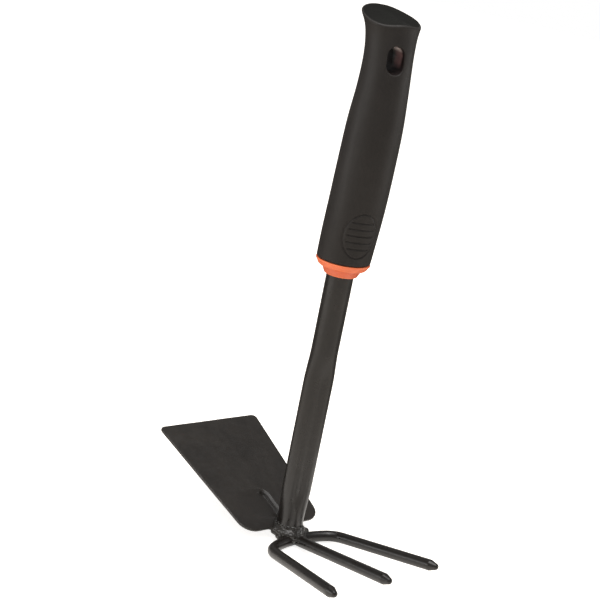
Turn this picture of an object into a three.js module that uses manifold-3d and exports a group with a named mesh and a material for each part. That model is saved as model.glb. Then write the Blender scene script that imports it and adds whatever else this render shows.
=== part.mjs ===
// Double hoe for one hand: a steel shank with a soft grip, a plate blade behind its foot, three round tines in front.
// Millimetres. +Z runs up the shank, +X points along the tines, Y is the width of the blade and the fork.
import * as THREE from "three";
import { mergeVertices } from "three/addons/utils/BufferGeometryUtils.js";
import Module from "manifold-3d";

const wasm = await Module();
wasm.setup();

// Shank: round steel tube, pressed to a grooved oval over its lower part.
const shankRadius = 8;
const shankWall = 1.2;
const shankInGrip = 78;
const pressTop = 110;
const pressRampTop = 15;
const pressFoot = 6;
const pressRampFoot = 22;
const pressedHalfDepth = 7.3;
const pressedHalfWidth = 8.9;
const grooveDepth = 1.5;
const grooveHalfAngle = 0.4;

// Blade: steel plate that widens outwards and rises from the foot, with a stamped dimple at its neck.
const bladeThickness = 1.6;
const bladeLength = 98;
const bladeNeckWidth = 60.6;
const bladeEndWidth = 80.4;
const bladeEndRadius = 3.5;
const bladeNeckRadius = 11;
const bladeRise = THREE.MathUtils.degToRad(18.5);
const bladeNeckBehind = 3.9;
const bladeNeckBelow = 1.95;
const tangWidth = 21.6;
const tangRadius = 3;
const dimpleFromNeck = 17;
const dimpleHalfLength = 15;
const dimpleHalfWidth = 6.8;
const dimpleDepth = 2.3;

// Fork: three round rods. The centre rod turns up into the shank, the outer rods butt its sides.
const tineRadius = 3.25;
const tineTipLength = 5.5;
const tineTipRadius = 1.3;
const forkRise = THREE.MathUtils.degToRad(11.2);
const forkBarAhead = 8.1;
const forkBarBelow = 5.6;
const forkBarHalfLength = 20;
const forkBowRise = 4.4;
const forkCornerRadius = 13.3;
const forkSplay = THREE.MathUtils.degToRad(11.3);
const outerTineStart = 1.8;
const outerTineReach = 83.4;
const centreTineReach = 85.4;
const centreBendRadius = 6.5;
const centreLegAhead = 3.2;
const centreLegLean = THREE.MathUtils.degToRad(8);
const centreLegTop = 26;

// Grip: hard core with a stepped collar, covered by a soft sleeve. It sits turned a little against the fork.
const gripTurn = THREE.MathUtils.degToRad(-20);
const collarFoot = 166.3;
const collarRingHeight = 5.8;
const collarRingFootRadius = 10.7;
const collarRingTopRadius = 12.5;
const collarFlangeHeight = 4;
const collarFlangeFootRadius = 14.4;
const collarFlangeRadius = 15.9;
const collarEdge = 0.6;
const gripLength = 141.5;
const gripHalfWidth = 16.5;
const gripFootBevel = 1;
const gripBow = 3.3;
const gripLean = 1.3;
const gripTopSlope = Math.tan(THREE.MathUtils.degToRad(18.4));
const gripTopRadius = 2;
const gripTopDish = 0.7;
const gripTopLip = 1;
const sleeveWall = 3;
const gripHeightShares = [0, 0.1, 0.25, 0.42, 0.58, 0.72, 0.82, 0.89, 0.95, 1];
const gripWidthShares = [0.96, 0.985, 1, 0.995, 0.97, 0.89, 0.85, 0.857, 0.92, 1.06];
const gripBowShares = [0, 0.3, 0.75, 0.95, 1, 1.05, 0.85, 0.4, -0.2, -0.9];
const gripLeanShares = [0, 0.1, 0.35, 0.6, 0.85, 1, 1, 1, 0.9, 0.5];
const gripTiltShares = [0, 0, 0, 0, 0, 0.05, 0.25, 0.55, 0.85, 1];

// Hanging slot through the pommel, and the sunk pattern low on the grip's front.
const slotWidth = 10.4;
const slotHeight = 16.4;
const slotBelowTop = 22;
const slotFlat = 2;
const slotLining = 1.5;
const padHeight = 28;
const padWidth = 21;
const padAboveFoot = 19;
const padLine = 1;
const padDepth = 0.5;
const padBars = 5;

// Welds: lumpy beads that join the shank's foot, the blade's tang and the rods.
const weldRadius = 2.2;
const rearWeldRadius = 1.7;
const weldLumpiness = 0.16;
const weldDrop = 0.5;
const forkWeldRadius = 1.5;
const tangWeldRadius = 2;

// Clearance between pieces that touch, and how far cutting bodies run past what they cut.
const fitGap = 0.3;
const overrun = 6;

// Facets.
const roundSides = 40;
const rodSides = 12;
const fineSteps = 6;
const gripRings = 18;

const collarTop = collarFoot + collarRingHeight + collarFlangeHeight;
const gripFoot = collarTop + fitGap;
const gripTop = gripFoot + gripLength;
const shankTop = gripFoot + shankInGrip;

const paintedSteel = { color: 0x34302d, roughness: 0.45, metalness: 0.3 };
const weldSteel = { color: 0x4b4743, roughness: 0.6, metalness: 0.4 };
const softBlack = { color: 0x2e2c2b, roughness: 0.75, metalness: 0 };
const orangePlastic = { color: 0xf4733f, roughness: 0.4, metalness: 0 };

const tool = new THREE.Group();
const turned = new THREE.Group();
turned.rotation.z = gripTurn;
tool.add(turned);

function mix(a, b, share) {
  return a + (b - a) * share;
}

function ramp(low, high, value) {
  return THREE.MathUtils.smoothstep(value, low, high);
}

function bareGeometry(geometry) {
  const bare = geometry.clone();
  bare.deleteAttribute("normal");
  bare.deleteAttribute("uv");
  return mergeVertices(bare, 1e-4);
}

function solidOf(geometry) {
  const bare = bareGeometry(geometry);
  const mesh = new wasm.Mesh({
    numProp: 3,
    vertProperties: new Float32Array(bare.attributes.position.array),
    triVerts: new Uint32Array(bare.index.array),
  });
  return new wasm.Manifold(mesh);
}

function geometryOf(solid) {
  const mesh = solid.getMesh();
  const geometry = new THREE.BufferGeometry();
  geometry.setAttribute("position", new THREE.BufferAttribute(mesh.vertProperties, 3));
  geometry.setIndex(new THREE.BufferAttribute(mesh.triVerts, 1));
  geometry.computeVertexNormals();
  return geometry;
}

function largestBody(solid) {
  const bodies = solid.decompose();
  bodies.sort((a, b) => b.volume() - a.volume());
  return bodies[0];
}

function addPiece(parent, name, geometry, look) {
  const mesh = new THREE.Mesh(geometry, new THREE.MeshStandardMaterial(look));
  mesh.name = name;
  parent.add(mesh);
}

// A lathe whose rings are then placed by a rule: place(radius, angle, level) gives the point.
function placedLathe(profile, sides, place) {
  const points = profile.map(([radius, level]) => new THREE.Vector2(radius, level));
  const geometry = bareGeometry(new THREE.LatheGeometry(points, sides));
  const position = geometry.attributes.position;
  for (let i = 0; i < position.count; i++) {
    const across = position.getX(i);
    const along = position.getZ(i);
    const point = place(Math.hypot(across, along), Math.atan2(across, along), position.getY(i));
    position.setXYZ(i, point.x, point.y, point.z);
  }
  return bareGeometry(geometry);
}

function uprightRing(radius, angle, level) {
  return new THREE.Vector3(radius * Math.cos(angle), radius * Math.sin(angle), level);
}

// The shank. Its oval and grooves fade in and out between the two ends of the pressed part.
function pressedShare(height) {
  const below = 1 - ramp(pressTop - pressRampTop, pressTop, height);
  return below * ramp(pressFoot, pressFoot + pressRampFoot, height);
}

function shankOutline(angle, height, offset) {
  const share = pressedShare(height);
  const halfDepth = mix(shankRadius, pressedHalfDepth, share) + offset;
  const halfWidth = mix(shankRadius, pressedHalfWidth, share) + offset;
  const fromGroove = Math.asin(Math.min(1, Math.abs(Math.sin(angle))));
  const groove = share * grooveDepth * Math.exp(-((fromGroove / grooveHalfAngle) ** 2));
  const oval = (halfDepth * halfWidth) / Math.hypot(halfWidth * Math.cos(angle), halfDepth * Math.sin(angle));
  return oval - groove;
}

function shankLevels(foot, top) {
  const levels = [foot];
  for (let step = 0; step <= fineSteps; step++) levels.push(pressFoot + (pressRampFoot * step) / fineSteps);
  for (let step = fineSteps; step >= 0; step--) levels.push(pressTop - (pressRampTop * step) / fineSteps);
  levels.push(top);
  return levels;
}

const bladeHalfRise = bladeThickness / 2 / Math.cos(bladeRise);

// Height of the blade's upper face at a distance ahead of the shank's axis.
function bladeTopAt(ahead) {
  return -bladeNeckBelow + bladeHalfRise - (ahead + bladeNeckBehind) * Math.tan(bladeRise);
}

const shankFoot = bladeTopAt(-shankRadius) + fitGap;

function shankBody() {
  const levels = shankLevels(shankFoot, shankTop);
  const outer = levels.map((level) => [shankRadius, level]);
  const inner = levels.map((level) => [shankRadius - shankWall, level]).reverse();
  const profile = [...outer, ...inner, outer[0]];
  return placedLathe(profile, roundSides, (radius, angle, level) =>
    uprightRing(shankOutline(angle, level, radius - shankRadius), angle, level),
  );
}

// The space inside the shank's outer face, grown by the clearance.
function shankSpace() {
  const levels = shankLevels(shankFoot - fitGap, shankTop);
  const profile = [[0, levels[0]], ...levels.map((level) => [shankRadius, level]), [0, shankTop]];
  return solidOf(
    placedLathe(profile, roundSides, (radius, angle, level) =>
      uprightRing(radius > 0 ? shankOutline(angle, level, fitGap) : 0, angle, level),
    ),
  );
}

addPiece(turned, "shank_tube", shankBody(), paintedSteel);

// The fork. Rods are drawn along points that lie in one plane.
function rodAlong(points, planeNormal, tipAtEnd, grow) {
  const last = points.length - 1;
  const sideways = points.map((point, i) => {
    const back = point.clone().sub(points[Math.max(0, i - 1)]).normalize();
    const ahead = points[Math.min(last, i + 1)].clone().sub(point).normalize();
    return new THREE.Vector3().crossVectors(planeNormal, back.add(ahead).normalize());
  });
  const rings = points.map((_, i) => [i === last && tipAtEnd ? tineTipRadius : tineRadius + grow, i]);
  const profile = [[0, 0], ...rings, [0, last]];
  return placedLathe(profile, rodSides, (radius, angle, level) => {
    const i = Math.round(level);
    const point = points[i].clone().addScaledVector(sideways[i], radius * Math.cos(angle));
    return point.addScaledVector(planeNormal, radius * Math.sin(angle));
  });
}

const forkOut = new THREE.Vector3(Math.cos(forkRise), 0, Math.sin(forkRise));
const forkAcross = new THREE.Vector3(0, 1, 0);
const forkUp = new THREE.Vector3(-Math.sin(forkRise), 0, Math.cos(forkRise));
const forkOrigin = new THREE.Vector3(forkBarAhead, 0, -forkBarBelow);

function forkPoint(out, across) {
  return forkOrigin.clone().addScaledVector(forkOut, out).addScaledVector(forkAcross, across);
}

// One outer rod: bowed bar from the centre rod, corner, then a straight splayed leg. Side is 1 or -1.
function outerTine(side, grow) {
  const bow = 2 * Math.atan(forkBowRise / forkBarHalfLength);
  const bowRadius = forkBarHalfLength / Math.sin(bow);
  const start = Math.asin(outerTineStart / bowRadius);
  const points = [];
  for (let step = 0; step <= fineSteps; step++) {
    const angle = mix(start, bow, step / fineSteps);
    points.push(forkPoint(bowRadius * (1 - Math.cos(angle)), side * bowRadius * Math.sin(angle)));
  }
  const cornerOut = bowRadius * (1 - Math.cos(bow)) + forkCornerRadius * Math.cos(bow);
  const cornerAcross = bowRadius * Math.sin(bow) - forkCornerRadius * Math.sin(bow);
  const straight = Math.PI / 2 - forkSplay;
  for (let step = 1; step <= fineSteps; step++) {
    const angle = mix(bow, straight, step / fineSteps);
    const across = cornerAcross + forkCornerRadius * Math.sin(angle);
    points.push(forkPoint(cornerOut - forkCornerRadius * Math.cos(angle), side * across));
  }
  const legOut = cornerOut - forkCornerRadius * Math.cos(straight);
  const legAcross = cornerAcross + forkCornerRadius * Math.sin(straight);
  for (const out of [outerTineReach - tineTipLength, outerTineReach]) {
    points.push(forkPoint(out, side * (legAcross + (out - legOut) * Math.tan(forkSplay))));
  }
  return rodAlong(points, forkUp, true, grow);
}

// The centre rod: a leg that leans back inside the shank, a tight bend, then the straight tine.
function centreTine(grow) {
  const bendX = centreLegAhead + centreBendRadius * Math.cos(centreLegLean);
  const lineX = bendX + centreBendRadius * Math.sin(forkRise);
  const lineZ = -forkBarBelow + (lineX - forkBarAhead) * Math.tan(forkRise);
  const bendZ = lineZ + centreBendRadius * Math.cos(forkRise);
  const legFoot = bendZ - centreBendRadius * Math.sin(centreLegLean);
  const legTopX = centreLegAhead - (centreLegTop - legFoot) * Math.tan(centreLegLean);
  const points = [new THREE.Vector3(legTopX, 0, centreLegTop)];
  for (let step = 0; step <= fineSteps; step++) {
    const angle = mix(Math.PI + centreLegLean, (3 * Math.PI) / 2 + forkRise, step / fineSteps);
    const x = bendX + centreBendRadius * Math.cos(angle);
    points.push(new THREE.Vector3(x, 0, bendZ + centreBendRadius * Math.sin(angle)));
  }
  points.push(forkPoint(centreTineReach - tineTipLength, 0));
  points.push(forkPoint(centreTineReach, 0));
  return rodAlong(points, forkAcross, true, grow);
}

const centreSpace = solidOf(centreTine(fitGap));

function outerTineSolid(side, grow) {
  return largestBody(solidOf(outerTine(side, grow)).subtract(centreSpace));
}

addPiece(tool, "centre_tine", centreTine(0), paintedSteel);
addPiece(tool, "outer_tine_left", geometryOf(outerTineSolid(-1, 0)), paintedSteel);
addPiece(tool, "outer_tine_right", geometryOf(outerTineSolid(1, 0)), paintedSteel);

// The blade, drawn in its own plane: out along the plate, across it, and up out of its upper face.
const bladeOut = new THREE.Vector3(-Math.cos(bladeRise), 0, Math.sin(bladeRise));
const bladeAcross = new THREE.Vector3(0, -1, 0);
const bladeUp = new THREE.Vector3(Math.sin(bladeRise), 0, Math.cos(bladeRise));
const bladeFrame = new THREE.Matrix4()
  .makeBasis(bladeOut, bladeAcross, bladeUp)
  .setPosition(-bladeNeckBehind, 0, -bladeNeckBelow);
const tangFront = forkBarAhead - tineRadius - fitGap;
const tangLength = (tangFront + bladeNeckBehind) / Math.cos(bladeRise);

function roundCorner(shape, from, corner, to, radius) {
  const toward = new THREE.Vector2().subVectors(from, corner).normalize();
  const away = new THREE.Vector2().subVectors(to, corner).normalize();
  const halfAngle = Math.acos(toward.dot(away)) / 2;
  const start = corner.clone().addScaledVector(toward, radius / Math.tan(halfAngle));
  const end = corner.clone().addScaledVector(away, radius / Math.tan(halfAngle));
  const inward = toward.clone().add(away).normalize();
  const centre = corner.clone().addScaledVector(inward, radius / Math.sin(halfAngle));
  const turn = toward.x * away.y - toward.y * away.x;
  const first = Math.atan2(start.y - centre.y, start.x - centre.x);
  const last = Math.atan2(end.y - centre.y, end.x - centre.x);
  shape.lineTo(start.x, start.y);
  shape.absarc(centre.x, centre.y, radius, first, last, turn > 0);
}

function bladeOutline(grow) {
  const neck = bladeNeckWidth / 2 + grow;
  const end = bladeEndWidth / 2 + grow;
  const tang = tangWidth / 2 + grow;
  const corners = [
    [-tangLength - grow, tang, 0],
    [-grow, tang, tangRadius],
    [-grow, neck, bladeNeckRadius],
    [bladeLength + grow, end, bladeEndRadius],
    [bladeLength + grow, -end, bladeEndRadius],
    [-grow, -neck, bladeNeckRadius],
    [-grow, -tang, tangRadius],
    [-tangLength - grow, -tang, 0],
  ];
  const points = corners.map(([x, y]) => new THREE.Vector2(x, y));
  const last = corners.length - 1;
  const shape = new THREE.Shape();
  shape.moveTo(points[0].x, points[0].y);
  for (let i = 1; i < last; i++) roundCorner(shape, points[i - 1], points[i], points[i + 1], corners[i][2]);
  shape.lineTo(points[last].x, points[last].y);
  shape.closePath();
  return shape;
}

function bladePlate(grow) {
  const depth = bladeThickness + 2 * grow;
  const plate = new THREE.ExtrudeGeometry(bladeOutline(grow), { depth, bevelEnabled: false, curveSegments: 7 });
  plate.translate(0, 0, -depth / 2);
  return solidOf(plate);
}

function dimpleBody(surface, margin) {
  const geometry = new THREE.SphereGeometry(1, 24, 16);
  geometry.scale(dimpleHalfLength + margin, dimpleHalfWidth + margin, dimpleDepth);
  geometry.translate(dimpleFromNeck, 0, surface);
  return solidOf(geometry);
}

const dimpledPlate = bladePlate(0)
  .add(dimpleBody(-bladeThickness / 2, bladeThickness / 2))
  .subtract(dimpleBody(bladeThickness / 2, 0));
const blade = solidOf(geometryOf(dimpledPlate).applyMatrix4(bladeFrame)).subtract(centreSpace);
addPiece(tool, "hoe_blade", geometryOf(largestBody(blade)), paintedSteel);

// The grip's rings. Shares along its length give its width, bow, lean and the tilt of its upper rings.
function gripSpline(shares) {
  return new THREE.SplineCurve(gripHeightShares.map((height, i) => new THREE.Vector2(height, shares[i])));
}

const gripWidths = gripSpline(gripWidthShares);
const gripBows = gripSpline(gripBowShares);
const gripLeans = gripSpline(gripLeanShares);
const gripTilts = gripSpline(gripTiltShares);

// A point of one ring: level 0 to 1 runs from the foot to the top, inset draws it in, drop lowers it.
// The top slopes down towards the front.
function gripPoint(level, angle, inset, drop) {
  const width = gripWidths.getPoint(level);
  const radius = gripHalfWidth * width.y - inset;
  const bow = gripBow * gripBows.getPoint(level).y;
  const lean = gripLean * gripLeans.getPoint(level).y;
  const tilt = gripTopSlope * gripTilts.getPoint(level).y;
  const height = gripFoot + gripLength * width.x - drop - tilt * radius * Math.cos(angle);
  return new THREE.Vector3(bow + radius * Math.cos(angle), lean + radius * Math.sin(angle), height);
}

// The grip's closed body, drawn in by inset all over, from a foot that can be lower than the grip's own.
function gripBody(inset, foot, rings) {
  const bands = [
    { level: 0, inset: inset + gripFootBevel, drop: gripFoot - foot },
    { level: 0, inset, drop: gripFoot - foot - gripFootBevel },
  ];
  for (let step = 1; step < rings; step++) bands.push({ level: step / rings, inset, drop: 0 });
  const roundSteps = fineSteps / 2;
  for (let step = 0; step <= roundSteps; step++) {
    const angle = (Math.PI / 2) * (step / roundSteps);
    const below = inset + gripTopRadius * (1 - Math.sin(angle));
    bands.push({ level: 1 - below / gripLength, inset: inset + gripTopRadius * (1 - Math.cos(angle)), drop: 0 });
  }
  if (inset === 0) bands.push({ level: 1, inset: gripTopRadius + gripTopLip, drop: gripTopDish });
  const last = bands.length - 1;
  const profile = [[0, 0], ...bands.map((_, i) => [1, i]), [0, last]];
  return placedLathe(profile, roundSides, (radius, angle, index) => {
    const band = bands[Math.round(index)];
    const edge = gripPoint(band.level, angle, band.inset, band.drop);
    if (radius > 0) return edge;
    const opposite = gripPoint(band.level, angle + Math.PI, band.inset, band.drop);
    return edge.add(opposite).multiplyScalar(1 / 2);
  });
}

const slotCentre = gripTop - slotBelowTop;

// The slot runs from the grip's front to its back. Its ends are round with a narrow flat in the middle.
// Grow makes the outline larger.
function slotBody(grow) {
  const aside = slotFlat / 2;
  const radius = slotWidth / 2 + grow - aside;
  const straight = (slotHeight - slotWidth) / 2 + aside;
  const length = 2 * (gripHalfWidth + gripBow + overrun);
  const shape = new THREE.Shape();
  for (const [across, up, quarter] of [
    [aside, straight, 0],
    [-aside, straight, 1],
    [-aside, -straight, 2],
    [aside, -straight, 3],
  ]) {
    shape.absarc(across, up, radius, (quarter * Math.PI) / 2, ((quarter + 1) * Math.PI) / 2, false);
  }
  const body = new THREE.ExtrudeGeometry(shape, { depth: length, bevelEnabled: false, curveSegments: 4 });
  body.translate(0, 0, -length / 2);
  body.rotateX(Math.PI / 2);
  body.rotateZ(Math.PI / 2);
  body.translate(0, gripLean, slotCentre);
  return solidOf(body);
}

function ovalShape(halfWidth, halfHeight) {
  const shape = new THREE.Shape();
  shape.absellipse(0, 0, halfWidth, halfHeight, 0, 2 * Math.PI, false, 0);
  return shape;
}

// The sunk pattern: an oval line round a stack of short level bars.
function padMotif() {
  const settings = { depth: gripHalfWidth + overrun, bevelEnabled: false, curveSegments: 18 };
  const rim = ovalShape(padWidth / 2, padHeight / 2);
  rim.holes.push(ovalShape(padWidth / 2 - padLine, padHeight / 2 - padLine));
  let motif = solidOf(new THREE.ExtrudeGeometry(rim, settings));
  const pitch = (padHeight - 4 * padLine) / (padBars + 1);
  for (let bar = 0; bar < padBars; bar++) {
    const height = (bar - (padBars - 1) / 2) * pitch;
    const reach = Math.sqrt(1 - ((2 * height) / padHeight) ** 2);
    const halfBar = (padWidth / 2 - 3 * padLine) * reach;
    const shape = new THREE.Shape();
    shape.absarc(halfBar, height, padLine / 2, -Math.PI / 2, Math.PI / 2, false);
    shape.absarc(-halfBar, height, padLine / 2, Math.PI / 2, (3 * Math.PI) / 2, false);
    motif = motif.add(solidOf(new THREE.ExtrudeGeometry(shape, { ...settings, curveSegments: 3 })));
  }
  const geometry = geometryOf(motif);
  geometry.rotateX(Math.PI / 2);
  geometry.rotateZ(Math.PI / 2);
  geometry.translate(0, 0, gripFoot + padAboveFoot);
  return solidOf(geometry);
}

const padCut = padMotif().subtract(solidOf(gripBody(padDepth, gripFoot, gripRings)));

// The sleeve wraps the core outside and lines the slot through it.
const coreSpace = solidOf(gripBody(sleeveWall, gripFoot - overrun, gripRings)).subtract(slotBody(slotLining));
const sleeve = solidOf(gripBody(0, gripFoot, gripRings)).subtract(coreSpace).subtract(slotBody(0)).subtract(padCut);
addPiece(turned, "grip_sleeve", geometryOf(sleeve), softBlack);

// The core's collar: a wide flange under the sleeve and a narrower ring where the shank enters, both tapered.
function collarBody() {
  const ringTop = collarFoot + collarRingHeight;
  const profile = [
    [0, collarFoot],
    [collarRingFootRadius - collarEdge, collarFoot],
    [collarRingFootRadius, collarFoot + collarEdge],
    [collarRingTopRadius, ringTop - collarEdge],
    [collarRingTopRadius, ringTop],
    [collarFlangeFootRadius - collarEdge, ringTop],
    [collarFlangeFootRadius, ringTop + collarEdge],
    [collarFlangeRadius, collarTop - collarEdge],
    [collarFlangeRadius - collarEdge, collarTop],
    [0, collarTop],
  ];
  return solidOf(placedLathe(profile, roundSides, uprightRing));
}

function coreBore() {
  const radius = shankRadius + fitGap;
  const top = shankTop + fitGap;
  const foot = collarFoot - overrun;
  const bore = new THREE.CylinderGeometry(radius, radius, top - foot, roundSides);
  bore.rotateX(Math.PI / 2);
  bore.translate(0, 0, (top + foot) / 2);
  return solidOf(bore);
}

const coreUpper = solidOf(gripBody(sleeveWall + fitGap, collarTop - gripFootBevel, gripRings));
const core = collarBody().add(coreUpper).subtract(coreBore()).subtract(slotBody(slotLining + fitGap));
addPiece(turned, "handle_core", geometryOf(core), orangePlastic);

// The welds. A bead is a row of overlapping lumps whose sizes and heights vary by a fixed wave.
function weldBead(places, radius, phase, grow) {
  const lumps = places.map((place, i) => {
    const size = radius * (1 + weldLumpiness * Math.sin(phase + 2.4 * i)) + grow;
    const lump = new THREE.SphereGeometry(size, 10, 7);
    lump.rotateX(phase + i);
    const rise = weldLumpiness * radius * Math.cos(phase + 1.7 * i);
    lump.translate(place.x, place.y, place.z + rise);
    return solidOf(lump);
  });
  return lumps.reduce((bead, lump) => bead.add(lump));
}

const keepOut = [
  solidOf(geometryOf(shankSpace()).rotateZ(gripTurn)),
  solidOf(geometryOf(bladePlate(fitGap)).applyMatrix4(bladeFrame)),
  solidOf(outerTine(-1, fitGap)),
  solidOf(outerTine(1, fitGap)),
  centreSpace,
];

function addWeld(name, places, radius, phase) {
  const bead = keepOut.reduce((rest, space) => rest.subtract(space), weldBead(places, radius, phase, 0));
  addPiece(tool, name, geometryOf(largestBody(bead)), weldSteel);
  keepOut.push(weldBead(places, radius, phase, fitGap));
}

// Places round the shank's foot, at the middle of the gap between the foot and what lies below it.
function placesRoundFoot(firstDegrees, lastDegrees, count, drop) {
  const reach = shankRadius + weldDrop;
  const barTop = -forkBarBelow + tineRadius;
  return Array.from({ length: count }, (_, i) => {
    const angle = THREE.MathUtils.degToRad(mix(firstDegrees, lastDegrees, i / (count - 1)));
    const ahead = reach * Math.cos(angle);
    const below = ahead > tangFront - tineRadius ? Math.max(barTop, bladeTopAt(ahead)) : bladeTopAt(ahead);
    return new THREE.Vector3(ahead, reach * Math.sin(angle), (below + shankFoot) / 2 - drop);
  });
}

function placesBetween(first, last, count) {
  return Array.from({ length: count }, (_, i) => first.clone().lerp(last, i / (count - 1)));
}

addWeld("weld_shank_front_left", placesRoundFoot(-38, -100, 8, weldDrop), weldRadius, 0.4);
addWeld("weld_shank_front_right", placesRoundFoot(38, 84, 6, 2 * weldDrop), weldRadius, 1.3);
addWeld("weld_shank_rear_left", placesRoundFoot(-118, -172, 7, 0), rearWeldRadius, 2.6);
addWeld("weld_shank_rear_right", placesRoundFoot(118, 172, 7, 0), rearWeldRadius, 3.9);

for (const [name, side, phase] of [
  ["left", -1, 3.1],
  ["right", 1, 4.4],
]) {
  const tangEnd = new THREE.Vector3(tangFront, (side * tangWidth) / 2, bladeTopAt(tangFront) + tangWeldRadius / 2);
  const tangInner = tangEnd.clone().setY((side * tangWidth) / 3);
  addWeld("weld_tang_" + name, placesBetween(tangInner, tangEnd, 3), tangWeldRadius, phase);
  const nookReach = (side * tineRadius * 3) / 2;
  const nook = forkPoint(tineRadius, nookReach).addScaledVector(forkUp, tineRadius / 2);
  const nookRear = forkPoint(-tineRadius / 4, nookReach).addScaledVector(forkUp, tineRadius);
  addWeld("weld_fork_" + name, placesBetween(nookRear, nook, 3), forkWeldRadius, phase);
}

// The origin is the bottom centre of the whole tool's box.
const box = new THREE.Box3().setFromObject(tool, true);
const middle = box.getCenter(new THREE.Vector3());
tool.position.set(-middle.x, -middle.y, -box.min.z);

const doubleHoe = new THREE.Group();
doubleHoe.add(tool);
export default doubleHoe;
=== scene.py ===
import math

import bmesh
import bpy
import numpy as np
from mathutils import Matrix, Vector, noise


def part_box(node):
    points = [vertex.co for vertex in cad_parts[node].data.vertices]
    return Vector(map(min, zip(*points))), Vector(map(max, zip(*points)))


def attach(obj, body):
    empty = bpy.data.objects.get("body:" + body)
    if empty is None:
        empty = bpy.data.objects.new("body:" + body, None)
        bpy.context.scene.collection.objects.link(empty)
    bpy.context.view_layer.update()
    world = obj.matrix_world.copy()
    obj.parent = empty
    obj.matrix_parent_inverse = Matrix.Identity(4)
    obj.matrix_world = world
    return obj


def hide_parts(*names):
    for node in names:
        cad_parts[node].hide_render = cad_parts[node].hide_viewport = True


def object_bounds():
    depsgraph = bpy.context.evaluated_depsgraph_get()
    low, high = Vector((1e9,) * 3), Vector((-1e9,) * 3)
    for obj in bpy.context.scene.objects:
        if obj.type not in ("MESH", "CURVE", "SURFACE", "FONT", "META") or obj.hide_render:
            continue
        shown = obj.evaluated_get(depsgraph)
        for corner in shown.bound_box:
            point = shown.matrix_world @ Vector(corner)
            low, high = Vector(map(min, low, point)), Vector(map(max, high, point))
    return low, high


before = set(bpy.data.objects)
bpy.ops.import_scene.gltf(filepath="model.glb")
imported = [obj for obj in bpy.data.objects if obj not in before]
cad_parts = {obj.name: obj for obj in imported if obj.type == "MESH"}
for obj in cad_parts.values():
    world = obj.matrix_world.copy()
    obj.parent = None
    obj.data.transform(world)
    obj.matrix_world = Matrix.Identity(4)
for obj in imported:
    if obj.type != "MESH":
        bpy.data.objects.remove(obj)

cad_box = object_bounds()
MM = 0.001
TINY = 1e-9

# Shank. Its upper ramp ends at PRESS_TOP, its lower one begins at PRESS_FOOT.
SHANK_RADIUS = 8.25
SHANK_WALL = 1.2
SHANK_IN_GRIP = 78
SHANK_SIDES = 128
PRESS_TOP = 120
PRESS_RAMP_TOP = 22
PRESS_FOOT = 6
PRESS_RAMP_FOOT = 22
PRESSED_HALF_DEPTH = 7.3
PRESSED_HALF_WIDTH = 9.4
PRESSED_RINGS = 100
GROOVE_DEPTH = 1.5
GROOVE_HALF_ANGLE = 0.62
ROUND_PART_ABOVE = 2
ROUND_RINGS = 60

# Blade.
BLADE_THICKNESS = 1.6
BLADE_LENGTH = 98
BLADE_NECK_WIDTH = 60.6
BLADE_END_WIDTH = 80.4
BLADE_END_RADIUS = 3.5
BLADE_NECK_RADIUS = 11
BLADE_RISE = math.radians(18.5)
BLADE_NECK_BEHIND = 3.9
BLADE_NECK_BELOW = 1.95
BLADE_EDGE = 0.45
BLADE_EDGE_LOOPS = 5
BLADE_WAVE = 0.22
BLADE_WAVE_LENGTH = 26
BLADE_WAVE_LEVEL = 3.1
BLADE_LOOPS = 16
BLADE_LOOP_CROWDING = 0.9
TANG_WIDTH = 21.6
TANG_RADIUS = 3
TANG_END_RADIUS = 1
OUTLINE_STEP = 0.8
OUTLINE_ARC_POINTS = 12
STADIUM_ROUND_POINTS = 4000
STADIUM_SIDE_POINTS = 400
DIMPLE_FROM_NECK = 18.65
DIMPLE_ASIDE = 1.95
DIMPLE_HALF_STRAIGHT = 7.05
DIMPLE_LEFT_STRETCH = 3
# Distance from the dimple's middle line and depth there, from the rim inward, on its steep side.
DIMPLE_PROFILE = (
    (7.25, 0), (6.95, 0.04), (6.65, 0.16), (6.35, 0.34), (5.85, 0.64), (5.35, 0.95), (5.05, 1.2), (4.85, 1.5),
    (4.55, 2.1), (4.35, 2.45), (4.25, 2.52), (3.95, 2.56), (0, 2.6),
)
DIMPLE_LOOPS = (
    9, 8.4, 7.8, 7.4, 7.2, 6.95, 6.65, 6.35, 6.1, 5.85, 5.6, 5.35, 5.05, 4.85, 4.55, 4.35, 4.25, 3.95, 3.2, 2.2,
    1.2, 0.5,
)
# The soft side: where it takes over across the middle line, where it starts from the neck, and how it runs out.
DIMPLE_SOFT_ACROSS = (-4, 1.5)
DIMPLE_SOFT_START = (4, 14)
DIMPLE_SOFT_FLAT = 0.5
DIMPLE_SOFT_RADIUS = 8.5
DIMPLE_FADE_FROM = -2.5
DIMPLE_FADE = 40

# Fork.
TINE_RADIUS = 3.42
TIP_LENGTH = 5.5
TIP_RADIUS = 1.5
TIP_END = 0.2
TIP_RINGS = (0.02, 0.06, 0.2, 0.4, 0.6, 0.76, 0.84, 0.9, 0.94, 0.97, 0.99, 1)
ROD_STEP = 0.9
ROD_SIDES = 32
FORK_RISE = math.radians(11.2)
BAR_AHEAD = 8.1
BAR_BELOW = 5.6
BAR_HALF_LENGTH = 20
BOW_RISE = 4.4
BOW_POINTS = 30
CORNER_RADIUS = 13.3
CORNER_POINTS = 40
SPLAY = math.radians(11.3)
OUTER_REACH = 83.4
CENTRE_REACH = 85.4
BEND_RADIUS = 6.5
BEND_POINTS = 30
LEG_AHEAD = 3.2
LEG_LEAN = math.radians(8)
LEG_TOP = 26

# Grip.
GRIP_TURN = math.radians(-20)
COLLAR_FOOT = 167.2
RING_HEIGHT = 4.9
RING_FOOT_RADIUS = 9.9
RING_TOP_RADIUS = 12.3
FLANGE_HEIGHT = 4
FLANGE_FOOT_RADIUS = 14.4
FLANGE_RADIUS = 16
COLLAR_EDGE = 1.1
COLLAR_EDGE_STEPS = 5
COLLAR_LIP = 0.35
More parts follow.
